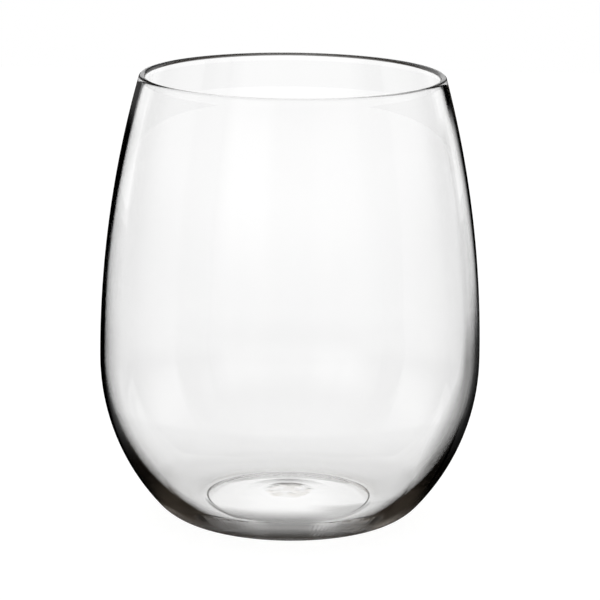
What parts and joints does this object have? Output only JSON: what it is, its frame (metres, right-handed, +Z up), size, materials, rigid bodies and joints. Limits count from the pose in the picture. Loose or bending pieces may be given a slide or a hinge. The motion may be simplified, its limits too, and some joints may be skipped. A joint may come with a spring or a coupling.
{
  "type": "stemless wine glass",
  "caption": "Stemless wine glass of clear glass: egg-shaped open bowl with a rounded rim, drawn in at the mouth, on a thick rounded base with a narrow standing ring.",
  "frame": {"origin": "centre of the standing ring, on the plane of the table", "axes": "+Z up along the axis of the glass, through the mouth; X and Y are alike, because the glass is round"},
  "size_m": [0.09, 0.09, 0.106],
  "materials": {
    "clear_glass": "clear, fire-polished"
  },
  "bodies": {
    "root": {"glass_body": "clear_glass"}
  },
  "joints": []
}
